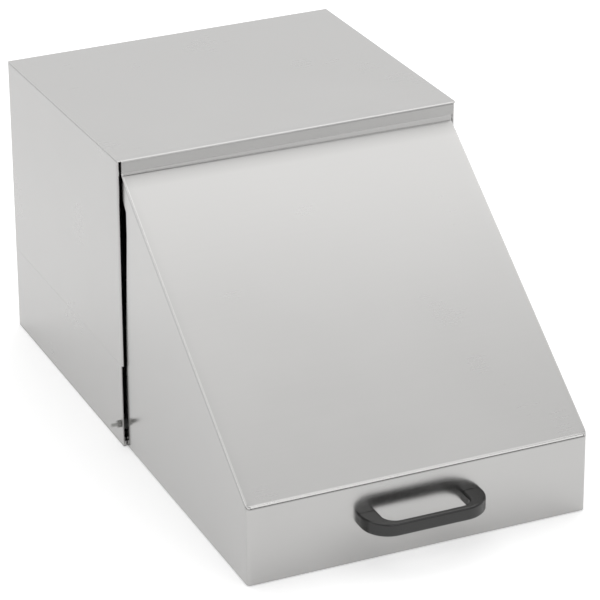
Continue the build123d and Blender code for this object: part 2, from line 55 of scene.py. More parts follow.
# ---- node helpers
# a principled material with nothing but its output
def newMaterial(name):
    mat = bpy.data.materials.new(name)
    mat.use_nodes = True
    tree = mat.node_tree
    tree.nodes.clear()
    out = tree.nodes.new("ShaderNodeOutputMaterial")
    shader = tree.nodes.new("ShaderNodeBsdfPrincipled")
    tree.links.new(shader.outputs[0], out.inputs["Surface"])
    return mat, tree, shader


# a node with its settings filled in
def addNode(tree, kind, **values):
    node = tree.nodes.new(kind)
    for key, value in values.items():
        setattr(node, key, value)
    return node


# noise = fractal noise of (object position * stretch * scale)
def objectNoise(tree, scale, detail, stretch=(1, 1, 1)):
    coords = addNode(tree, "ShaderNodeTexCoord")
    mapping = addNode(tree, "ShaderNodeMapping")
    mapping.inputs["Scale"].default_value = stretch
    noise = addNode(tree, "ShaderNodeTexNoise")
    noise.inputs["Scale"].default_value = scale
    noise.inputs["Detail"].default_value = detail
    tree.links.new(coords.outputs["Object"], mapping.inputs["Vector"])
    tree.links.new(mapping.outputs[0], noise.inputs["Vector"])
    return noise.outputs["Fac"]


# the three object coordinates, in metres
def objectAxes(tree):
    split = addNode(tree, "ShaderNodeSeparateXYZ")
    coords = addNode(tree, "ShaderNodeTexCoord")
    tree.links.new(coords.outputs["Object"], split.inputs[0])
    return split.outputs


# straight line from (fromLow, toLow) to (fromHigh, toHigh), held level beyond both ends
def mapRange(tree, source, fromLow, fromHigh, toLow, toHigh, kind="LINEAR"):
    node = addNode(tree, "ShaderNodeMapRange", interpolation_type=kind)
    limits = {"From Min": fromLow, "From Max": fromHigh, "To Min": toLow, "To Max": toHigh}
    for key, value in limits.items():
        node.inputs[key].default_value = value
    tree.links.new(source, node.inputs["Value"])
    return node.outputs["Result"]


# noise lies mostly between 0.3 and 0.7, so this stretches it over low to high
def spread(tree, noise, low, high):
    return mapRange(tree, noise, 0.3, 0.7, low, high)


# one arithmetic step on two numbers or sockets
def mathNode(tree, operation, a, b):
    node = addNode(tree, "ShaderNodeMath", operation=operation)
    for socket, value in zip(node.inputs, (a, b)):
        if isinstance(value, (int, float)):
            socket.default_value = value
        else:
            tree.links.new(value, socket)
    return node.outputs[0]


# length of a 2-D offset = sqrt(a squared + b squared)
def hypot(tree, a, b):
    squares = mathNode(tree, "ADD", mathNode(tree, "MULTIPLY", a, a), mathNode(tree, "MULTIPLY", b, b))
    return mathNode(tree, "SQRT", squares, 0.0)


# 1 inside a band of the given half width about a centre, falling smoothly to 0 outside it
def band(tree, value, centre, halfWidth, soft=0.45):
    away = mathNode(tree, "ABSOLUTE", mathNode(tree, "SUBTRACT", value, centre), 0.0)
    return mapRange(tree, away, halfWidth * (1 - soft), halfWidth * (1 + soft), 1.0, 0.0, "SMOOTHSTEP")


# ---- steel and polymer
# painted edge light: tone = 1 + painted highlight on the hood's edges - painted shadow line under them -
# faint on a wide band of the cheeks - painted shade * (1 - distance from the slope's top bend / reach) where
# the upstand shades the slope; the second value is 1 on the slope
def paintedEdgeLight(tree, weld):
    x, y, z = objectAxes(tree)
    fromFront = mathNode(tree, "SUBTRACT", y, hoodSize["front"] * mm)
    fromTop = mathNode(tree, "SUBTRACT", z, hoodSize["stripTop"] * mm)
    # depth = distance under the slope's plane, square to it, with the hood's twist taken out
    untwist = mathNode(tree, "MULTIPLY", mathNode(tree, "MULTIPLY", x, fromFront),
                       hoodSize["twist"] / (hoodRun * mm))
    rise = mathNode(tree, "ADD", fromTop, untwist)
    depth = mathNode(tree, "SUBTRACT", mathNode(tree, "MULTIPLY", rise, math.cos(slopeAngle)),
                     mathNode(tree, "MULTIPLY", fromFront, math.sin(slopeAngle)))
    fromSide = mathNode(tree, "SUBTRACT", mathNode(tree, "ABSOLUTE", x, 0.0), hoodSize["half"] * mm)
    nearest = mathNode(tree, "MINIMUM", hypot(tree, fromFront, fromTop), hypot(tree, fromSide, depth))
    # painted highlight along the lid's front and side edges
    bright = band(tree, nearest, 0.0, weld["edgeWidth"] * mm)
    # painted shadow line under the lid's turned-down edge
    line = band(tree, depth, -weld["lineDepth"] * mm, weld["lineWidth"] * mm)
    onCheek = band(tree, fromSide, 0.0, weld["cheekSkin"] * mm)
    wide = band(tree, depth, -weld["wideDepth"] * mm, weld["wideWidth"] * mm)
    wide = mathNode(tree, "MULTIPLY", wide, onCheek)
    tone = mathNode(tree, "ADD", mathNode(tree, "MULTIPLY", bright, weld["bright"]), 1.0)
    tone = mathNode(tree, "SUBTRACT", tone, mathNode(tree, "MULTIPLY", line, weld["dark"]))
    tone = mathNode(tree, "SUBTRACT", tone, mathNode(tree, "MULTIPLY", wide, weld["faint"]))
    # painted shade on the slope near its top bend, where the upstand shades it
    fromBend = hypot(tree, mathNode(tree, "SUBTRACT", fromFront, hoodRun * mm),
                     mathNode(tree, "SUBTRACT", rise, hoodClimb * mm))
    near = mapRange(tree, fromBend, weld["dullStart"] * mm, weld["dullReach"] * mm, weld["dull"], 0.0)
    return mathNode(tree, "SUBTRACT", tone, near), band(tree, depth, 0.0, weld["slopeSkin"] * mm)


# painted shade stripe: tone = 1 - dark within a thin band about zero on one axis
def paintedShadeStripe(tree, axis, dark, depth):
    stripe = band(tree, objectAxes(tree)[axis], 0.0, depth * mm)
    return mathNode(tree, "SUBTRACT", 1.0, mathNode(tree, "MULTIPLY", stripe, dark))


# brushed steel: tone = 1 + streaks along one axis + soft blotches from handling, darker by a painted contact
# shadow in a hair at the foot and, where asked, by painted edge light or painted shade on the folded lip;
# roughness = blotches + a trace of streaks
def brushedSteel(name, look):
    mat, tree, shader = newMaterial(name)
    streak = objectNoise(tree, look["streakScale"], 3, look["grain"])
    blotch = objectNoise(tree, look["blotchScale"], 3)
    speck = objectNoise(tree, look["speckScale"], 2)
    tone = mathNode(tree, "ADD", spread(tree, streak, -look["streakTone"], look["streakTone"]),
                    spread(tree, blotch, -look["blotchTone"], look["blotchTone"]))
    # painted contact shadow in a hair along the foot
    shift = mathNode(tree, "MULTIPLY", mathNode(tree, "ADD", tone, 1.0), paintedShadeStripe(tree, "Z", *look["foot"]))
    onSlope = 0.0
    # the hood's painted edge highlights and painted shade
    if "weld" in look:
        paintedEdgeTone, onSlope = paintedEdgeLight(tree, look["weld"])
        shift = mathNode(tree, "MULTIPLY", shift, paintedEdgeTone)
    # painted shade over the folded lip's front face and bend
    if "lip" in look:
        shift = mathNode(tree, "MULTIPLY", shift, paintedShadeStripe(tree, "Y", *look["lip"]))
    base = addNode(tree, "ShaderNodeVectorMath", operation="SCALE")
    base.inputs[0].default_value = look["colour"]
    tree.links.new(shift, base.inputs["Scale"])
    tree.links.new(base.outputs[0], shader.inputs["Base Color"])
    rough = mathNode(tree, "ADD", spread(tree, blotch, *look["rough"]),
                     spread(tree, streak, -look["streakRough"], look["streakRough"]))
    # the slope is brushed coarser than the walls
    rough = mathNode(tree, "ADD", rough, mathNode(tree, "MULTIPLY", onSlope, look["slopeRough"]))
    tree.links.new(rough, shader.inputs["Roughness"])
    shader.inputs["Metallic"].default_value = 1
    height = mathNode(tree, "ADD", mathNode(tree, "MULTIPLY", streak, look["streakHeight"]),
                      mathNode(tree, "MULTIPLY", speck, look["speckHeight"]))
    addBump(tree, shader, height, look["bump"], look["bumpDepth"])
    return mat


# moulded or rubbery black: tone spread over soft blotches, roughness and bump from a fine pebble
def blackPolymer(name, look):
    mat, tree, shader = newMaterial(name)
    blotch = objectNoise(tree, look["blotchScale"], 2)
    grain = objectNoise(tree, look["grainScale"], 2)
    base = addNode(tree, "ShaderNodeVectorMath", operation="SCALE")
    base.inputs[0].default_value = look["colour"]
    tree.links.new(spread(tree, blotch, *look["tone"]), base.inputs["Scale"])
    tree.links.new(base.outputs[0], shader.inputs["Base Color"])
    tree.links.new(spread(tree, grain, *look["rough"]), shader.inputs["Roughness"])
    shader.inputs["Specular IOR Level"].default_value = look["specular"]
    addBump(tree, shader, grain, look["bump"], look["bumpDepth"])
    return mat


# bump: the surface's normal tilts with the slope of a height pattern
def addBump(tree, shader, height, strength, depth):
    bump = addNode(tree, "ShaderNodeBump")
    bump.inputs["Strength"].default_value = strength
    bump.inputs["Distance"].default_value = depth * mm
    tree.links.new(height, bump.inputs["Height"])
    tree.links.new(bump.outputs[0], shader.inputs["Normal"])


# the grain is drawn out along the axis with the small number; foot and lip are painted shade (dark, depth in
# mm)
sheetLook = {"colour": (0.447, 0.443, 0.437), "grain": (0.02, 1, 1), "streakScale": 420, "streakTone": 0.004,
             "streakRough": 0.006, "blotchScale": 9, "blotchTone": 0.012, "speckScale": 900,
             "rough": (0.27, 0.32), "slopeRough": 0.1, "streakHeight": 0.6, "speckHeight": 0.5,
             "bump": 0.004, "bumpDepth": 0.02, "foot": (0.45, 1.3)}
# painted edge light on the hood: highlight, shadow line under the edges, faint cheek band, shade near the top
# bend
hoodPaintedEdges = {"edgeWidth": 1.5, "bright": 0.42, "lineDepth": 2.9, "lineWidth": 0.55, "dark": 0.3,
            "cheekSkin": 0.6, "wideDepth": 4.2, "wideWidth": 1.9, "faint": 0.12,
            "dull": 0.18, "dullStart": 1.5, "dullReach": 19, "slopeSkin": 0.8}
rubberLook = {"colour": (0.02, 0.02, 0.02), "tone": (0.9, 1.1), "rough": (0.66, 0.74), "specular": 0.3,
              "blotchScale": 60, "grainScale": 1500, "bump": 0.4, "bumpDepth": 0.03}
nylonLook = dict(rubberLook, colour=(0.03, 0.03, 0.03), rough=(0.46, 0.54), specular=0.4,
                 grainScale=1200, bump=0.2)
handlePaint = dict(rubberLook, colour=(0.013, 0.013, 0.0125), rough=(0.16, 0.24), specular=0.5,
                   grainScale=1400, bump=0.25)
materials = {
    # the cover's lip gets a painted shade on its front face and bend
    "stainless_sheet": brushedSteel("stainlessSheet", dict(sheetLook, lip=(0.18, 0.5))),
    "stainless_hood": brushedSteel("stainlessHood", dict(sheetLook, rough=(0.17, 0.21), weld=hoodPaintedEdges)),
    "stainless_inner": brushedSteel("stainlessInner", dict(sheetLook, rough=(0.3, 0.36))),
    "hinge_steel": brushedSteel("hingeSteel", dict(sheetLook, grain=(1, 1, 0.02), colour=(0.5, 0.5, 0.49))),
    "rivet_steel": brushedSteel("rivetSteel", dict(sheetLook, streakTone=0.01, colour=(0.55, 0.55, 0.54))),
    "bolt_steel": brushedSteel("boltSteel", dict(sheetLook, colour=(0.42, 0.42, 0.41), rough=(0.25, 0.35))),
    "nut_steel": brushedSteel("nutSteel", dict(sheetLook, colour=(0.3, 0.3, 0.29), rough=(0.3, 0.4))),
    "lock_chrome": brushedSteel("lockChrome", dict(sheetLook, colour=(0.6, 0.6, 0.6), rough=(0.12, 0.18))),
    "black_rubber": blackPolymer("blackRubber", rubberLook),
    "black_nylon": blackPolymer("blackNylon", nylonLook),
    "handle_black": blackPolymer("handleBlack", handlePaint),
}
slotOf = {part["node"]: part["material_slot"] for part in frame["record"]["subparts"]}
for nodeName, node in frame["nodes"].items():
    node.data.materials.clear()
    node.data.materials.append(materials[slotOf[nodeName]])
print("materials ready")


# ---- surface helpers: pieces are grids of points in mm, joined into one mesh in metres
# a grid is (points, keep, wrap): rows x columns x 3, which cells stay, and whether the columns close up
def makePiece(name, grids, body, nodes, slot, thickness=0, bevel=0):
    points, quads, offset = [], [], 0
    for gridPoints, keep, wrap in grids:
        rows, cols = gridPoints.shape[:2]
        i, j = np.meshgrid(np.arange(rows - 1), np.arange(cols if wrap else cols - 1), indexing="ij")
        after = (j + 1) % cols
        corners = (i * cols + j, i * cols + after, (i + 1) * cols + after, (i + 1) * cols + j)
        cells = np.stack(corners, -1)
        if keep is not None:
            cells = cells[keep]
        points.append(gridPoints.reshape(-1, 3) * mm)
        quads.append(cells.reshape(-1, 4) + offset)
        offset += rows * cols
    mesh = bpy.data.meshes.new(name)
    mesh.from_pydata(np.concatenate(points).tolist(), [], np.concatenate(quads).tolist())
    return finishPiece(name, mesh, body, nodes, slot, thickness, bevel)


# merges doubled points, drops loose ones, then adds the sheet's thickness and small worn edges
def finishPiece(name, mesh, body, nodes, slot, thickness=0, bevel=0, sharpFrom=38, mergeWithin=2e-6):
    work = bmesh.new()
    work.from_mesh(mesh)
    bmesh.ops.remove_doubles(work, verts=work.verts, dist=mergeWithin)
    bmesh.ops.delete(work, geom=[v for v in work.verts if not v.link_faces], context="VERTS")
    work.to_mesh(mesh)
    work.free()
    mesh.polygons.foreach_set("use_smooth", np.ones(len(mesh.polygons), bool))
    mesh.materials.append(materials[slot])
    obj = bpy.data.objects.new(name, mesh)
    scene.collection.objects.link(obj)
    if thickness:
        solid = obj.modifiers.new("thickness", "SOLIDIFY")
        solid.thickness = thickness * mm
        solid.offset = -1
        solid.use_even_offset = True
    if bevel:
        worn = obj.modifiers.new("wornEdges", "BEVEL")
        worn.width = bevel * mm
        worn.segments = 3
        worn.limit_method = "ANGLE"
        worn.angle_limit = math.radians(sharpFrom)
        worn.harden_normals = True
    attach(obj, body)
    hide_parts(*nodes)
    return obj


# points along straight runs with rounded corners: each arc = entry and leave spokes blended by the sine rule
def roundedPath(corners, radius, perRun, perArc=8):
    corners = [np.array(corner, float) for corner in corners]
    parts, start = [], corners[0]
    for before, corner, after in zip(corners, corners[1:], corners[2:]):
        inward, outward = corner - before, after - corner
        inward, outward = inward / np.linalg.norm(inward), outward / np.linalg.norm(outward)
        half = math.acos(np.clip(inward @ outward, -1, 1)) / 2
        reach = radius * math.tan(half)
        entry, leave = corner - inward * reach, corner + outward * reach
        toCentre = (outward - inward) / np.linalg.norm(outward - inward)
        centre = corner + toCentre * radius / math.cos(half)
        parts.append(start + (entry - start) * np.linspace(0, 1, perRun)[:-1, None])
        share = np.linspace(0, 1, perArc)[:-1, None]
        fromEntry = (entry - centre) * np.sin((1 - share) * 2 * half)
        fromLeave = (leave - centre) * np.sin(share * 2 * half)
        parts.append(centre + (fromEntry + fromLeave) / math.sin(2 * half))
        start = leave
    parts.append(start + (corners[-1] - start) * np.linspace(0, 1, perRun)[:, None])
    return np.concatenate(parts)


# each wave is (share, pace along u, phase, pace along v, phase)
sheetWaves = ((0.6, 0.011, 0.7, 0.013, 1.1), (0.4, 0.023, -0.4, 0.019, 2.0))


# sheet flatness: shift = depth * sum of share * sin(pace u + phase) * sin(pace v + phase)
def slowWaves(u, v, depth):
    return depth * sum(share * np.sin(paceU * u + phaseU) * np.sin(paceV * v + phaseV)
                       for share, paceU, phaseU, paceV, phaseV in sheetWaves)


# a turned shape: the profile (height along the axis, radius) spun about an axis from a centre
def turned(profile, centre, axis, segments=48, lift=None):
    axis = np.array(axis, float)
    sideways = np.cross(axis, (0, 0, 1)) if abs(axis[2]) < 0.9 else np.array((1.0, 0, 0))
    sideways = sideways / np.linalg.norm(sideways)
    across = np.cross(axis, sideways)
    angle = np.linspace(0, 2 * np.pi, segments, endpoint=False)
    height, radius = np.array(profile, float).T
    radius = radius[:, None] + np.zeros_like(angle)
    if lift is not None:
        radius = lift(height[:, None], radius, angle)
    spokes = np.cos(angle)[:, None] * sideways + np.sin(angle)[:, None] * across
    return np.array(centre, float) + height[:, None, None] * axis + radius[..., None] * spokes, None, True


# ---- hood: sloping lid with turned-down edges and an upstand, over a folded shell
hoodLook = {"sheet": 1.5, "lidSheet": 1.3, "bend": 1.5, "sideBend": 1.3, "noseRun": 5, "turnDown": 2.3,
            "seam": 0.1, "cornerInset": 0.2, "cornerUnder": 1.1, "cornerDeep": 3, "upstandFrom": 2,
            "upstandSink": 0.2, "twistTop": 327, "cheekTop": 321, "waves": 0.25, "edge": 0.08,
            "rear": ((9.6, 1), (9.6, 16), (7.2, 75), (-8, 262), (-8, 289), (2, 300.5), (2, 327.5))}
bendEnd = hoodSize["front"] + hoodSize["corner"]  # behind this the cheeks run straight
rearY, rearZ = np.array(hoodLook["rear"]).T  # outline of the cheeks' rear edges, from the ground up


# hood twist: lift = -twist * x * share of the way back * share of the way up
def twisted(x, y, z):
    share = np.clip((y - hoodSize["front"]) / hoodRun, 0, 1) * np.clip(z / hoodLook["twistTop"], 0, 1)
    return np.stack([x, y, z - hoodSize["twist"] * x * share], -1)


# lid: the side profile (nose, slope, upstand) carried over the width, sunk square to itself along the rounded
# turned-down sides; half width at the nose = half - corner + sqrt(corner squared - depth squared)
def hoodLid():
    half, front, corner = hoodSize["half"], hoodSize["front"], hoodSize["corner"]
    stripTop, slopeEnd, turnDown = hoodSize["stripTop"], hoodSize["slopeEnd"], hoodLook["turnDown"]
    noseEnd = (front + hoodLook["noseRun"], stripTop + hoodLook["noseRun"] * math.tan(slopeAngle))
    nose = roundedPath([(front, stripTop - turnDown), (front, stripTop), noseEnd], hoodLook["bend"], 4, 7)
    rest = roundedPath([noseEnd, slopeEnd, (slopeEnd[0], hoodSize["upstand"])], hoodLook["bend"], 44)
    profile = np.concatenate([nose, rest[1:]])
    along = np.gradient(profile, axis=0)
    along = along / np.linalg.norm(along, axis=1)[:, None]
    normal = np.stack([-along[:, 1], along[:, 0]], -1)
    edgeRun = roundedPath([(-half, -turnDown), (-half, 0), (0, 0)], hoodLook["sideBend"], 22, 6)
    edgeRun = np.concatenate([edgeRun, (edgeRun[:-1] * (-1, 1))[::-1]])
    across, sink = edgeRun.T
    noseDepth = np.clip(bendEnd - profile[:, 0], 0, corner)
    halfAt = half - corner + np.sqrt(corner ** 2 - noseDepth ** 2)
    x = across * halfAt[:, None] / half
    onUpstand = profile[:, 1:] > slopeEnd[1] + hoodLook["upstandFrom"]
    sinkAt = np.where(onUpstand, sink * hoodLook["upstandSink"], sink)
    y = profile[:, :1] + normal[:, :1] * sinkAt
    z = profile[:, 1:] + normal[:, 1:] * sinkAt
    # slope dip = slow waves, faded to nothing at the sheet's own edges
    fade = np.sin(np.pi * (x / half + 1) / 2) * np.sin(np.pi * np.clip((y - front) / hoodRun, 0, 1))
    dip = slowWaves(x, y, hoodLook["waves"]) * fade
    return twisted(x, y + dip * math.sin(slopeAngle), z - dip * math.cos(slopeAngle)), None, False


# closed corner: a quarter round just inside the lid's corner, from under the seam to under the lid;
# x = half - corner + radius * cos(turn), y = bend end - radius * sin(turn), z = lid less a share of its depth
def lidCorner(side):
    turn = np.radians(np.linspace(0, 90, 8))
    radius = hoodSize["corner"] - hoodLook["cornerInset"]
    x = side * (hoodSize["half"] - hoodSize["corner"] + radius * np.cos(turn))
    y = bendEnd - radius * np.sin(turn)
    share = np.array([[0], [0.5], [1]])
    top = hoodSize["stripTop"] + (y - hoodSize["front"]) * math.tan(slopeAngle) - hoodLook["cornerUnder"]
    wall = twisted(x + 0 * share, y + 0 * share, top - hoodLook["cornerDeep"] * (1 - share))
    return wall[:, ::-side], None, False


# shell's top edge = slope line less the lid's turned-down edge and the seam
shellDrop = (hoodLook["turnDown"] + hoodLook["seam"]) / math.cos(slopeAngle)
kneeZ = hoodSize["stripTop"] - shellDrop + hoodSize["corner"] * math.tan(slopeAngle)


# lower shell: strip and both cheeks as one bent wall, from the bottom to the strip's height; the cheeks'
# run is stretched so that its last point follows the rear outline at every height
def shellBand():
    half, front, bottom = hoodSize["half"], hoodSize["front"], hoodSize["bottom"]
    plan = roundedPath([(-half, rearY[0]), (-half, front), (half, front), (half, rearY[0])],
                       hoodSize["corner"], 40, 9)
    outlineLevels = (rearZ[1:3] - bottom) / (kneeZ - bottom)
    level = np.sort(np.concatenate([np.linspace(0, 1, 12), outlineLevels]))[:, None]
    climb = np.minimum(plan[:, 1] - front, hoodSize["corner"]) * math.tan(slopeAngle)
    z = bottom + (hoodSize["stripTop"] - shellDrop + climb - bottom) * level
    runShare = np.clip((plan[:, 1] - bendEnd) / (rearY[0] - bendEnd), 0, 1)
    onCheek = bendEnd + runShare * (np.interp(z, rearZ, rearY) - bendEnd)
    y = np.where(plan[:, 1] > bendEnd, onCheek, plan[:, 1])
    return twisted(np.repeat(plan[None, :, 0], len(level), 0), y, z), None, False


# upper cheek: at each height from the slope line's y to the rear outline's y
def shellCheek(side):
    rise = np.unique(np.concatenate([np.linspace(kneeZ, hoodLook["cheekTop"], 26), rearZ[3:6]]))[:, None]
    frontY = bendEnd + (rise - kneeZ) / math.tan(slopeAngle)
    y = frontY + (np.interp(rise, rearZ, rearY) - frontY) * np.linspace(0, 1, 40)
    cheek = twisted(np.full_like(y, side * hoodSize["half"]), y, rise + 0 * y)
    return cheek[:, ::side], None, False


# hem: a flattened loop lying inside the foot of the strip, given as (depth, height) from its inner face
hemLook = {"half": 188, "play": 0.05, "columns": 12,
           "loop": ((0, 13), (1.4, 12.6), (1.4, 2.2), (0.7, 1.1), (0, 1.4))}


# hem surface: the loop carried straight across the strip
def stripHem():
    inside = hoodSize["front"] + hoodLook["sheet"] + hemLook["play"]
    depth, height = np.array(hemLook["loop"]).T
    x = np.linspace(-hemLook["half"], hemLook["half"], hemLook["columns"])[:, None]
    hem = np.stack([x + 0 * depth, inside + depth + 0 * x, height + 0 * x], -1)
    return hem[:, ::-1], None, True


makePiece("hoodSlope", [hoodLid(), lidCorner(-1), lidCorner(1)], "hood", ["hood_slope"], "stainless_hood",
          hoodLook["lidSheet"], hoodLook["edge"])
makePiece("hoodShell", [shellBand(), shellCheek(-1), shellCheek(1)], "hood", ["hood_shell"], "stainless_hood",
          hoodLook["sheet"], hoodLook["edge"])
makePiece("hoodHem", [stripHem()], "hood", [], "stainless_hood")
print("hood ready")

# ---- housing: cover with a front lip, and side panels with a closed hem on the front edge
coverLook = {"half": 200, "lipHalf": 196.4, "lipBottom": 333, "front": 347, "depth": 349, "fall": 11.5,
             "bend": 2.5, "sideStart": 1.2, "sheet": 1.5, "waves": 0.25, "waveShift": 80, "edge": 0.4}


# cover: lip and top as one bent profile carried across; the strips over the panels start behind the bend, and
# the top's waves fade as cos across and sin along
def coverSheet():
    half, lipHalf, depth, top = (coverLook[key] for key in ("half", "lipHalf", "depth", "front"))
    profile = roundedPath([(0, coverLook["lipBottom"]), (0, top), (depth, top - coverLook["fall"])],
                          coverLook["bend"], 36, 10)
    startRow = int(np.argmax(profile[:, 0] > coverLook["sideStart"]))
    across = np.concatenate([[-half], np.linspace(-lipHalf, lipHalf, 44), [half]])
    x, y = np.meshgrid(across, profile[:, 0])
    z = np.repeat(profile[:, 1:2], len(across), 1)
    fade = np.cos(np.pi * x / 2 / half) * np.sin(np.pi * y / depth)
    points = np.stack([x, y, z + slowWaves(x, y + coverLook["waveShift"], coverLook["waves"]) * fade], -1)
    keep = np.ones((len(profile) - 1, len(across) - 1), bool)
    keep[:startRow, [0, -1]] = False
    return points, keep, False


makePiece("topCover", [coverSheet()], "housing", ["top_cover"], "stainless_sheet",
          coverLook["sheet"], coverLook["edge"])

panelLook = {"outer": 200, "nose": 1.5, "hemEnd": 12, "hemMiddle": 7, "hemBottom": 100, "hemRise": 240,
             "rawEdge": 10.2, "noseTop": 4, "lean": 4, "gap": 1.9, "runEnd": 340,
             "runStart": 16, "nearRun": (9, 5), "sheet": 1.42, "waves": 0.3,
             "waveShift": 90, "calm": 24, "edge": 0.3, "lowRows": 9, "footReach": (198.5, 197.4, 196.3),
             "footRise": (0, 3.2, 6.5)}


# side panel: the plan (flat run, round nose, hem return) carried up; above the hem's bottom the nose leans,
# y = top value + lean * (1 - height / front height), and below it the sheet ends at a plain edge
def sidePanel(side):
    outer, nose, hemEnd, rawEdge = (panelLook[key] for key in ("outer", "nose", "hemEnd", "rawEdge"))
    hemBottom, lowCount, runEnd = panelLook["hemBottom"], panelLook["lowRows"], panelLook["runEnd"]
    frontHigh, depth = coverLook["front"], coverLook["depth"]
    turn = np.linspace(0, np.pi, 10)[1:-1]
    noseArc = np.stack([outer - nose - nose * np.cos(turn + np.pi), nose - nose * np.sin(turn)], -1)
    run = np.concatenate([np.linspace(runEnd, panelLook["runStart"], 34), [*panelLook["nearRun"], nose]])
    hemReturn = [(outer - 2 * nose, y) for y in (nose, panelLook["hemMiddle"], hemEnd)]
    plan = np.concatenate([np.stack([np.full_like(run, outer), run], -1), noseArc, hemReturn])
    level = np.concatenate([np.linspace(0, hemBottom, lowCount), np.linspace(0, 1, 18)])[:, None]
    isLow = np.arange(len(level))[:, None] < lowCount
    noseHeight = np.where(isLow, 0, hemBottom + level * panelLook["hemRise"])
    noseFoot = panelLook["noseTop"] + panelLook["lean"] * (1 - noseHeight / frontHigh)
    behind = plan[None, :, 1]
    stretched = noseFoot + hemEnd + (behind - hemEnd) * (depth - hemEnd - noseFoot) / (runEnd - hemEnd)
    upperY = np.where(behind > hemEnd, stretched, noseFoot + behind)
    lowerY = rawEdge + (behind - nose) * (depth - rawEdge) / (runEnd - nose)
    y = np.where(isLow, lowerY, upperY)
    roof = frontHigh - coverLook["fall"] * y / depth - panelLook["gap"]
    z = np.where(isLow, level, hemBottom + (roof - hemBottom) * level)
    keep = np.ones((len(z) - 1, len(plan) - 1), bool)
    keep[:lowCount, len(run) - 1:] = False
    keep[lowCount - 1, :] = False
    # panel bulge = slow waves, faded out at the rim and at the hem
    calm = panelLook["calm"]
    fade = np.sin(np.pi * np.clip((y - calm) / (depth - calm), 0, 1)) * np.sin(np.pi * z / z.max())
    bulge = slowWaves(y, z + panelLook["waveShift"] * side, panelLook["waves"]) * fade
    points = np.stack([side * (plan[None, :, 0] + bulge), y, z], -1)
    return points[:, ::-side], keep[:, ::-side], False


# foot return: the plain edge turns in towards the hood at the ground, as a flat wall over reach and rise at
# y = raw edge
def footReturn(side):
    x, z = np.meshgrid(panelLook["footReach"], panelLook["footRise"])
    wall = np.stack([side * x, np.full_like(x, panelLook["rawEdge"]), z], -1)
    return wall[:, ::-side], None, False


for side, label in ((-1, "left"), (1, "right")):
    makePiece(label + "SidePanel", [sidePanel(side), footReturn(side)], "housing", [label + "_side_panel"],
              "stainless_sheet", panelLook["sheet"], panelLook["edge"])
print("housing ready")

# ---- bow handle: a rounded section carried from foot to foot
handleLook = {"half": 60, "foot": 21, "height": 15.2, "centreZ": 49.5, "reach": 36, "bar": 9,
              "outerCorner": 31, "innerCorner": 14, "frontEdge": 2.6, "backEdge": 3.8,
              "edgeShare": 0.95, "crown": 0.03}


# handle: middle line = mean of the outer and inner outlines; at each step a rounded rectangle, as wide as the
# gap between them, whose faces swell by crown * cos(pi * height / full height)
def bowHandle():
    wall = hoodSize["front"]
    outerHalf, innerHalf = (handleLook["half"] + sign * handleLook["foot"] / 2 for sign in (1, -1))
    front, back = wall - handleLook["reach"], wall - handleLook["reach"] + handleLook["bar"]
    outerLine = roundedPath([(-outerHalf, wall), (-outerHalf, front), (outerHalf, front), (outerHalf, wall)],
                            handleLook["outerCorner"], 16, 18)
    innerLine = roundedPath([(-innerHalf, wall), (-innerHalf, back), (innerHalf, back), (innerHalf, wall)],
                            handleLook["innerCorner"], 16, 18)
    middle, outward = (outerLine + innerLine) / 2, (outerLine - innerLine) / 2
    halfWidth = np.linalg.norm(outward, axis=1)
    outward = outward / halfWidth[:, None]
    halfHeight = handleLook["height"] / 2
    arc = np.radians(np.linspace(0, 90, 7))
    loopA, loopZ = [], []
    for turn, isFront, signZ in ((0, True, 1), (90, False, 1), (180, False, -1), (270, True, -1)):
        radius = handleLook["frontEdge"] if isFront else handleLook["backEdge"]
        radius = np.minimum(radius, halfWidth * handleLook["edgeShare"])[:, None]
        angle = arc + math.radians(turn)
        centreA = (halfWidth[:, None] - radius) * (1 if isFront else -1)
        loopA.append(centreA + radius * np.cos(angle))
        loopZ.append(signZ * (halfHeight - radius) + radius * np.sin(angle))
    loopA, loopZ = np.concatenate(loopA, 1), np.concatenate(loopZ, 1)
    loopA = loopA * (1 + handleLook["crown"] * np.cos(np.pi * loopZ / handleLook["height"]))
    body = np.stack([middle[:, :1] + outward[:, :1] * loopA, middle[:, 1:] + outward[:, 1:] * loopA,
                     handleLook["centreZ"] + loopZ], -1)[:, ::-1]
    firstCap, lastCap = (np.repeat(row.mean(0)[None, None], body.shape[1], 1) for row in (body[0], body[-1]))
    return np.concatenate([firstCap, body, lastCap]), None, True


handlePiece = makePiece("bowHandle", [bowHandle()], "hood", ["handle"], "handle_black")
handlePiece.modifiers.new("evenShading", "WEIGHTED_NORMAL").keep_sharp = False
print("handle ready")

# ---- pivots: shoulder bolts with a rolled thread, and chamfered nuts; heights are distances from the middle
boltLook = {"pitch": 0.8, "depth": 0.4, "centre": (0, 18, 25), "thread": 2.5, "threadStart": 198.5,
            "end": 212, "threadFrom": 198.6, "threadTo": 211.9, "chamferFrom": 211, "step": 0.1,
            "shank": [(187, 0), (187, 5.6), (187.5, 6.3), (188, 6.5), (190.4, 6.5), (191, 6.2), (191, 4),
                      (191.2, 4), (198.4, 4), (198.5, 3.9)]}
nutLook = {"flat": 4, "cone": 4.05, "coneRise": 1.73, "corner": 4.6, "outer": 4.7,
           "face": 3.95, "low": 200, "high": 204,
           "side": (200.02, 200.15, 200.3, 200.5, 202, 203.5, 203.7, 203.85, 203.98),
           "start": [(200, 2.65), (200, 3.9)],
           "bore": [(204, 3.9), (204, 2.9), (203.7, 2.6), (200.3, 2.6), (200, 2.65)]}


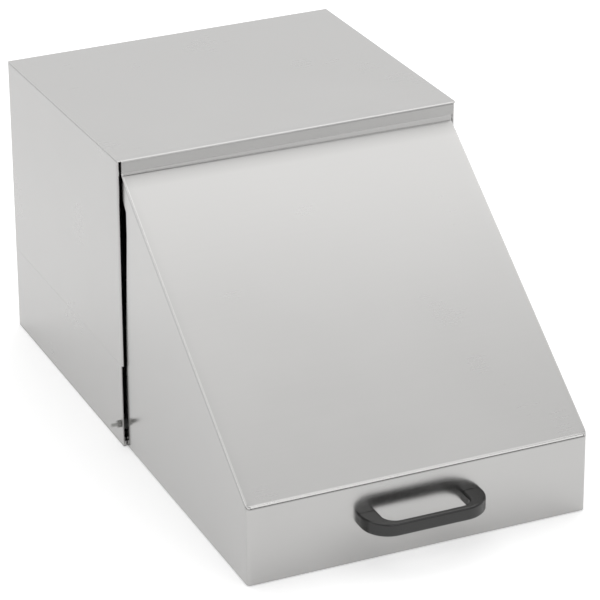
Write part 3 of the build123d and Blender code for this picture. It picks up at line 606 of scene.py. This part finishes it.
# thread radius = crest less depth times a triangle wave of (height / pitch - turn)
def rolledThread(height, radius, angle):
    phase = (height / boltLook["pitch"] - angle / (2 * np.pi)) % 1
    cut = boltLook["depth"] * (1 - abs(2 * phase - 1))
    onThread = (height > boltLook["threadFrom"]) & (height < boltLook["threadTo"]) & (radius > 1)
    return np.where(onThread, radius - cut, radius)


# nut side = a hexagon, cut back near both faces by a 30 degree cone
def hexagon(height, radius, angle):
    flat = nutLook["flat"] / np.cos((angle + np.pi / 6) % (np.pi / 3) - np.pi / 6)
    fromFace = np.minimum(height - nutLook["low"], nutLook["high"] - height)
    cone = np.minimum(nutLook["cone"] + fromFace * nutLook["coneRise"], nutLook["corner"])
    return np.where(radius > nutLook["face"], np.minimum(flat, cone), radius)


threadHeights = np.arange(boltLook["threadStart"], boltLook["end"] + boltLook["step"] / 10, boltLook["step"])
threadRun = [(h, boltLook["thread"] - max(0, h - boltLook["chamferFrom"])) for h in threadHeights]
boltProfile = boltLook["shank"] + threadRun + [(boltLook["end"], 0)]
for side, label in ((-1, "left"), (1, "right")):
    makePiece(label + "PivotBolt", [turned(boltProfile, boltLook["centre"], (side, 0, 0), 40, rolledThread)],
              "housing", [label + "_pivot_bolt"], "bolt_steel")
nutProfile = nutLook["start"] + [(h, nutLook["outer"]) for h in nutLook["side"]] + nutLook["bore"]
nutGrids = [turned(nutProfile, boltLook["centre"], (side, 0, 0), 72, hexagon) for side in (-1, 1)]
makePiece("pivotNuts", nutGrids, "housing", ["pivot_nuts"], "nut_steel")

# ---- rubber: domed bumpers under the hood
bumperLook = {"x": (-120, 120), "y": -312,
              "profile": [(25, 0), (25, 5), (25.4, 5.15), (27, 5.05), (29.6, 4.7), (30.5, 4.2), (30.9, 3.4),
                          (31, 2), (31, 0)]}
makePiece("restBumpers", [turned(bumperLook["profile"], (x, bumperLook["y"], 0), (0, 0, 1), 40)
                          for x in bumperLook["x"]], "housing", ["rest_bumpers"], "black_rubber")
print("small parts ready")

# ---- emptying door: a shallow pan with rounded rims
doorLook = {"half": 172, "low": 25, "high": 307, "face": 361, "rear": 349.8, "corner": 2.5, "rim": 1.2,
            "sheet": 1.5, "waves": 0.4, "edge": 0.25, "rings": 22, "crowding": 0.8, "returnAt": (357, 353)}


# door: rings that grow from the middle of the face to the rim, round the rim through a quarter arc, then go
# back along the returns; face = slow waves that die out towards the rims
def doorPan():
    half, face, rim, corner = (doorLook[key] for key in ("half", "face", "rim", "corner"))
    centreZ, halfHigh = (doorLook["low"] + doorLook["high"]) / 2, (doorLook["high"] - doorLook["low"]) / 2
    loop = roundedPath([(half, 0), (half, halfHigh), (-half, halfHigh), (-half, -halfHigh), (half, -halfHigh),
                        (half, 0)], corner, 18, 6)[:-1]
    shares = np.linspace(0, 1, doorLook["rings"])[:-1] ** doorLook["crowding"]
    rings = [(loop * share, face) for share in shares]
    inset = loop - rim * np.sign(loop) * (abs(loop) > np.array([half, halfHigh]) - corner)
    rings.append((inset, face))
    for bend in np.radians(np.linspace(15, 90, 6)):
        rings.append((inset + (loop - inset) * math.sin(bend), face - rim * (1 - math.cos(bend))))
    rings += [(loop, y) for y in (*doorLook["returnAt"], doorLook["rear"])]
    points = np.array([np.stack([ring[:, 0], np.full(len(ring), y), ring[:, 1] + centreZ], -1)
                       for ring, y in rings])
    x, z = points[..., 0], points[..., 2]
    fade = np.cos(np.pi * x / 2 / half) * np.cos(np.pi * (z - centreZ) / 2 / halfHigh)
    points[..., 1] -= abs(slowWaves(x, z, doorLook["waves"])) * np.clip(fade, 0, 1)
    return points, None, True


makePiece("doorPanel", [doorPan()], "rear_door", ["door_panel"], "stainless_sheet",
          doorLook["sheet"], doorLook["edge"])
print("door ready")

# ---- the other folded and turned parts keep their shape, with small worn edges of these widths in mm
wornEdges = {"base_pan": 0.25, "rear_panel": 0.25, "chute_plate": 0.25, "stop_brackets": 0.25,
             "stop_pads": 0.4, "hinge_fixed_leaf": 0.12, "hinge_door_leaf": 0.12, "hood_stop_angle": 0.25,
             "left_pivot_lug": 0.3, "right_pivot_lug": 0.3, "pivot_bushes": 0.2, "handle_washers": 0.2,
             "lock_nut": 0.3,
             "lock_barrel": 0.2, "lock_plug": 0.15, "lock_cam": 0.25}
bodies = frame["record"]["behaviour"]["bodies"]
bodyOf = {node: body for body, members in bodies.items() for node in members}
for nodeName, width in wornEdges.items():
    words = nodeName.split("_")
    pieceName = words[0] + "".join(word.capitalize() for word in words[1:])
    copy = frame["nodes"][nodeName].data.copy()
    copy.materials.clear()
    copied = finishPiece(pieceName, copy, bodyOf[nodeName], [nodeName], slotOf[nodeName],
                         bevel=width, sharpFrom=35)
    copied.modifiers.new("evenShading", "WEIGHTED_NORMAL").keep_sharp = False
print("copies ready")

# ---- camera: a long lens from the front left, looking down; back points from the target to the camera
camera = {"target": (0.01004, 0, 0.14237), "azimuth": -23.80, "elevation": 25.71, "roll": -0.36,
          "distance": 3.86, "lens": 208.8, "sensor": 36}
azimuth, elevation, roll = (math.radians(camera[key]) for key in ("azimuth", "elevation", "roll"))
back = Vector((math.sin(azimuth) * math.cos(elevation), -math.cos(azimuth) * math.cos(elevation),
               math.sin(elevation)))
right = Vector((math.cos(azimuth), math.sin(azimuth), 0))
up = back.cross(right)
rightRolled = right * math.cos(roll) + up * math.sin(roll)
upRolled = up * math.cos(roll) - right * math.sin(roll)
camData = bpy.data.cameras.new("camera")
camData.lens = camera["lens"]
camData.sensor_width = camera["sensor"]
camObject = bpy.data.objects.new("camera", camData)
scene.collection.objects.link(camObject)
facing = Matrix((rightRolled, upRolled, back)).transposed().to_4x4()
camObject.matrix_world = Matrix.Translation(Vector(camera["target"]) + back * camera["distance"]) @ facing
scene.camera = camObject

# ---- floor, world and softboxes; the world's lobes are strengths towards each side
floorLook = {"half": 12, "sink": 0.2, "colour": 0.8, "rough": 0.9, "glow": 0.4}
worldLook = {"all": 0.12, "sharpness": 2,
             "lobes": {(0, -1, 0): 0.4, (0, 1, 0): 1.21, (-1, 0, 0): 1.17, (1, 0, 0): 0.76, (0, 0, 1): 0.03}}
softboxes = {
    "rearBox": {"place": (0.42, 0.75, 1.9), "aim": (0.42, 0.75, 0), "size": (2.4, 2.2), "radiance": 1.52},
    "frontBox": {"place": (0.42, -0.9, 1.9), "aim": (0.42, -0.9, 0), "size": (2.4, 1.1), "radiance": 0.85},
    "highFront": {"place": (0.2, -2.4, 1.5), "aim": (0, 0, 0.2), "size": (1.8, 1.0), "radiance": 1.6},
}
corners = [(-1, -1, 0), (1, -1, 0), (1, 1, 0), (-1, 1, 0)]
floorMesh = bpy.data.meshes.new("floor")
floorMesh.from_pydata((np.array(corners, float) * floorLook["half"]).tolist(), [], [(0, 1, 2, 3)])
floor = bpy.data.objects.new("floor", floorMesh)
scene.collection.objects.link(floor)
floor.location.z = -floorLook["sink"] * mm
floorMat, _, floorShader = newMaterial("paleFloor")
floorShader.inputs["Base Color"].default_value = (floorLook["colour"],) * 3 + (1,)
floorShader.inputs["Roughness"].default_value = floorLook["rough"]
floorShader.inputs["Specular IOR Level"].default_value = 0
floorShader.inputs["Emission Color"].default_value = (1, 1, 1, 1)
floorShader.inputs["Emission Strength"].default_value = floorLook["glow"]
floorMesh.materials.append(floorMat)


# world strength = all + sum of lobe * max(0, direction . side) to the power of sharpness
def studioWorld():
    world = bpy.data.worlds.new("studio")
    scene.world = world
    world.use_nodes = True
    tree = world.node_tree
    background = tree.nodes["Background"]
    background.inputs["Color"].default_value = (1, 1, 1, 1)
    coords = addNode(tree, "ShaderNodeTexCoord")
    total = worldLook["all"]
    for axis, strength in worldLook["lobes"].items():
        dot = addNode(tree, "ShaderNodeVectorMath", operation="DOT_PRODUCT")
        tree.links.new(coords.outputs["Generated"], dot.inputs[0])
        dot.inputs[1].default_value = axis
        towards = mathNode(tree, "MAXIMUM", dot.outputs["Value"], 0.0)
        lobe = mathNode(tree, "POWER", towards, worldLook["sharpness"])
        total = mathNode(tree, "ADD", mathNode(tree, "MULTIPLY", lobe, strength), total)
    tree.links.new(total, background.inputs["Strength"])


# an area light's power for a wanted radiance: power = radiance * pi * area
def softbox(name, place, aim, size, radiance):
    data = bpy.data.lights.new(name, "AREA")
    data.shape = "RECTANGLE"
    data.size, data.size_y = size
    data.energy = radiance * math.pi * size[0] * size[1]
    lamp = bpy.data.objects.new(name, data)
    scene.collection.objects.link(lamp)
    lamp.location = place
    lamp.rotation_euler = (Vector(aim) - Vector(place)).to_track_quat("-Z", "Y").to_euler()


studioWorld()
for boxName, box in softboxes.items():
    softbox(boxName, **box)
scene.view_settings.view_transform = "Standard"
print("camera and light ready")
